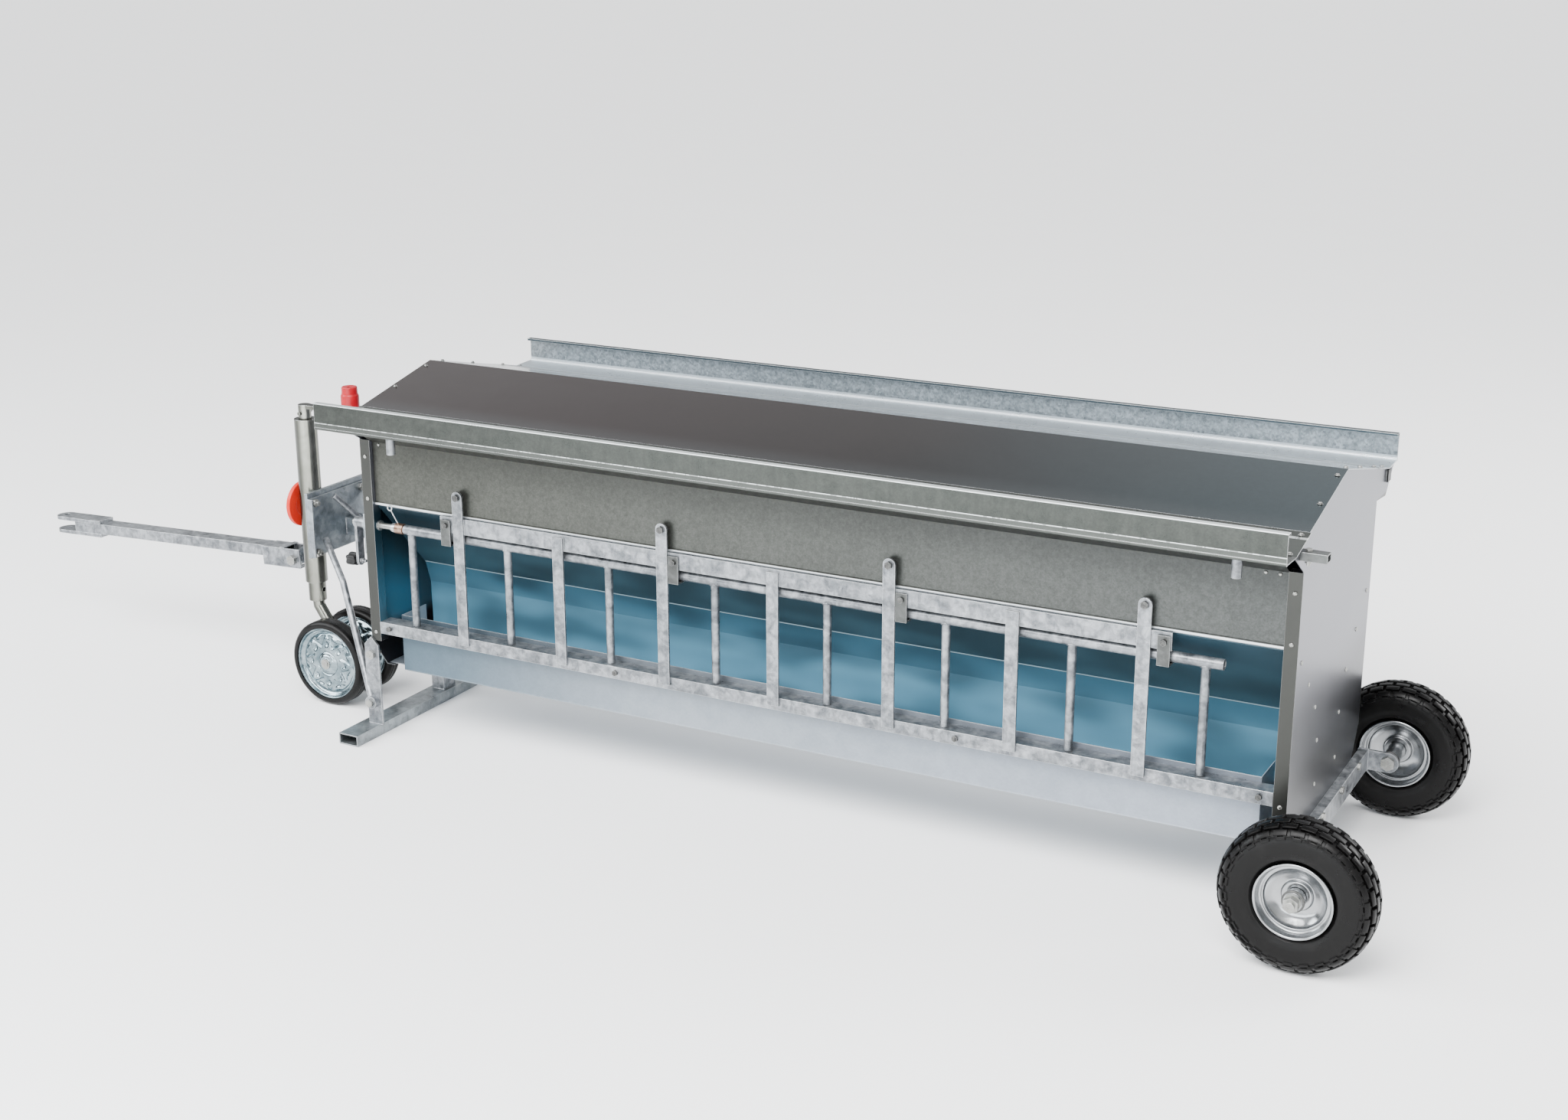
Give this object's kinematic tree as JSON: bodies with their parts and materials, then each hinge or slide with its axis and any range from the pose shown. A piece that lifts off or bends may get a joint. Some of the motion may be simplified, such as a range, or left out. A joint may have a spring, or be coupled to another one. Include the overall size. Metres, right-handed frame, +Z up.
{
  "type": "towable livestock creep feeder",
  "caption": "Long galvanised two-sided hopper feeder with sliding creep bars over a trough, rain gutters, running wheels, folding draw bar and jockey-wheel jack.",
  "frame": {"origin": "on the ground, under the middle of the whole object's box", "axes": "+X runs along the body toward the running wheels, +Y across it toward the rear side, +Z up"},
  "size_m": [4.0648, 1.012, 0.943],
  "materials": {
    "galvanised_steel": "hot-dip zinc, mottled",
    "galvanised_sheet": "glossy galvanised sheet with fine spangle",
    "zinc_hardware": "zinc plated",
    "bright_zinc": "bright zinc plated",
    "wheel_steel": "silver grey paint",
    "tyre_rubber": "matt black rubber",
    "solid_rubber": "matt black rubber",
    "coupling_bronze": "dull copper brown",
    "black_plastic": "black moulded plastic",
    "red_disc": "orange red plastic",
    "red_grip": "crimson moulded plastic"
  },
  "bodies": {
    "base": {"axle_beam": "galvanised_steel", "axle_bolts": "zinc_hardware", "drain_spouts": "galvanised_steel", "eave_tubes": "galvanised_steel", "end_panel_left": "galvanised_steel", "end_panel_right": "galvanised_steel", "frame_bolts": "zinc_hardware", "grille_bolts": "zinc_hardware", "grille_frame_front": "galvanised_steel", "grille_frame_rear": "galvanised_steel", "gutter_front": "galvanised_sheet", "gutter_rear": "galvanised_sheet", "hopper_sheet_front": "galvanised_sheet", "hopper_sheet_rear": "galvanised_sheet", "jack_bracket": "galvanised_steel", "jack_outer_tube": "bright_zinc", "lower_rail_front": "galvanised_steel", "lower_rail_rear": "galvanised_steel", "reflector": "red_disc", "roof_sheet": "galvanised_sheet", "screw_bushes": "galvanised_steel", "sheet_fixings": "zinc_hardware", "skid_foot": "galvanised_steel", "skid_uprights": "galvanised_steel", "slide_clips": "galvanised_steel", "stay_rods": "galvanised_steel", "tow_beam": "galvanised_steel", "tow_lug": "galvanised_steel", "tow_plate": "galvanised_steel", "trough": "galvanised_steel", "tube_caps": "black_plastic", "wall_front": "galvanised_sheet", "wall_rear": "galvanised_sheet"},
    "wheel_front": {"tyre_front": "tyre_rubber", "rim_front": "wheel_steel", "hub_front": "wheel_steel"},
    "wheel_rear": {"tyre_rear": "tyre_rubber", "rim_rear": "wheel_steel", "hub_rear": "wheel_steel"},
    "drawbar": {"drawbar_tube": "galvanised_steel", "drawbar_cheeks": "galvanised_steel", "drawbar_fork": "galvanised_steel"},
    "jack_leg": {"jack_inner_tube": "bright_zinc", "jockey_axle": "zinc_hardware"},
    "jockey_wheel_front": {"jockey_tyre_front": "solid_rubber", "jockey_rim_front": "bright_zinc"},
    "jockey_wheel_rear": {"jockey_tyre_rear": "solid_rubber", "jockey_rim_rear": "bright_zinc"},
    "jack_handle": {"jack_crank": "bright_zinc"},
    "jack_hand_grip": {"jack_grip": "red_grip"},
    "slide_front": {"sliding_grille_front": "galvanised_steel", "slide_coupling_front": "coupling_bronze"},
    "slide_rear": {"sliding_grille_rear": "galvanised_steel", "slide_coupling_rear": "coupling_bronze"},
    "screw_front": {"adjusting_screw_front": "zinc_hardware", "crank_arm_front": "galvanised_steel"},
    "screw_rear": {"adjusting_screw_rear": "zinc_hardware", "crank_arm_rear": "galvanised_steel"},
    "knob_front": {"crank_knob_front": "black_plastic"},
    "knob_rear": {"crank_knob_rear": "black_plastic"}
  },
  "joints": [
    {"name": "wheel_spin_front", "type": "hinge", "parent": "base", "child": "wheel_front", "pos_m": [1.86743, -0.4375, 0.165], "axis": [0, 1, 0], "continuous": true},
    {"name": "wheel_spin_rear", "type": "hinge", "parent": "base", "child": "wheel_rear", "pos_m": [1.86743, 0.4375, 0.165], "axis": [0, 1, 0], "continuous": true},
    {"name": "drawbar_fold", "type": "hinge", "parent": "base", "child": "drawbar", "pos_m": [-1.09857, 0, 0.331], "axis": [0, 1, 0], "range_deg": [0, 70]},
    {"name": "jack_crank_turn", "type": "hinge", "parent": "base", "child": "jack_handle", "pos_m": [-0.94157, -0.115, 0.79], "axis": [0, 0, 1], "range_deg": [-7200, 1440]},
    {"name": "jack_leg_slide", "type": "slide", "parent": "base", "child": "jack_leg", "axis": [0, 0, 1], "range_m": [-0.2, 0.04]},
    {"name": "jack_grip_spin", "type": "hinge", "parent": "jack_handle", "child": "jack_hand_grip", "pos_m": [-0.78357, -0.115, 0.84], "axis": [0, 0, 1], "continuous": true},
    {"name": "jockey_spin_front", "type": "hinge", "parent": "jack_leg", "child": "jockey_wheel_front", "pos_m": [-0.85357, -0.1775, 0.118], "axis": [0, 1, 0], "continuous": true},
    {"name": "jockey_spin_rear", "type": "hinge", "parent": "jack_leg", "child": "jockey_wheel_rear", "pos_m": [-0.85357, -0.0525, 0.118], "axis": [0, 1, 0], "continuous": true},
    {"name": "screw_turn_front", "type": "hinge", "parent": "base", "child": "screw_front", "pos_m": [-0.63807, -0.285, 0.57], "axis": [1, 0, 0], "range_deg": [-2160, 4320]},
    {"name": "grille_slide_front", "type": "slide", "parent": "base", "child": "slide_front", "axis": [1, 0, 0], "range_m": [-0.036, 0.072]},
    {"name": "knob_spin_front", "type": "hinge", "parent": "screw_front", "child": "knob_front", "pos_m": [-0.66157, -0.285, 0.467], "axis": [1, 0, 0], "continuous": true},
    {"name": "screw_turn_rear", "type": "hinge", "parent": "base", "child": "screw_rear", "pos_m": [-0.63807, 0.285, 0.57], "axis": [1, 0, 0], "range_deg": [-2160, 4320]},
    {"name": "grille_slide_rear", "type": "slide", "parent": "base", "child": "slide_rear", "axis": [1, 0, 0], "range_m": [-0.036, 0.072]},
    {"name": "knob_spin_rear", "type": "hinge", "parent": "screw_rear", "child": "knob_rear", "pos_m": [-0.66157, 0.285, 0.467], "axis": [1, 0, 0], "continuous": true}
  ],
  "couplings": [
    {"joint": "jack_leg_slide", "follows": "jack_crank_turn", "m_per_rad": 0.0015915},
    {"joint": "grille_slide_front", "follows": "screw_turn_front", "m_per_rad": 0.00095493},
    {"joint": "grille_slide_rear", "follows": "screw_turn_rear", "m_per_rad": 0.00095493}
  ]
}
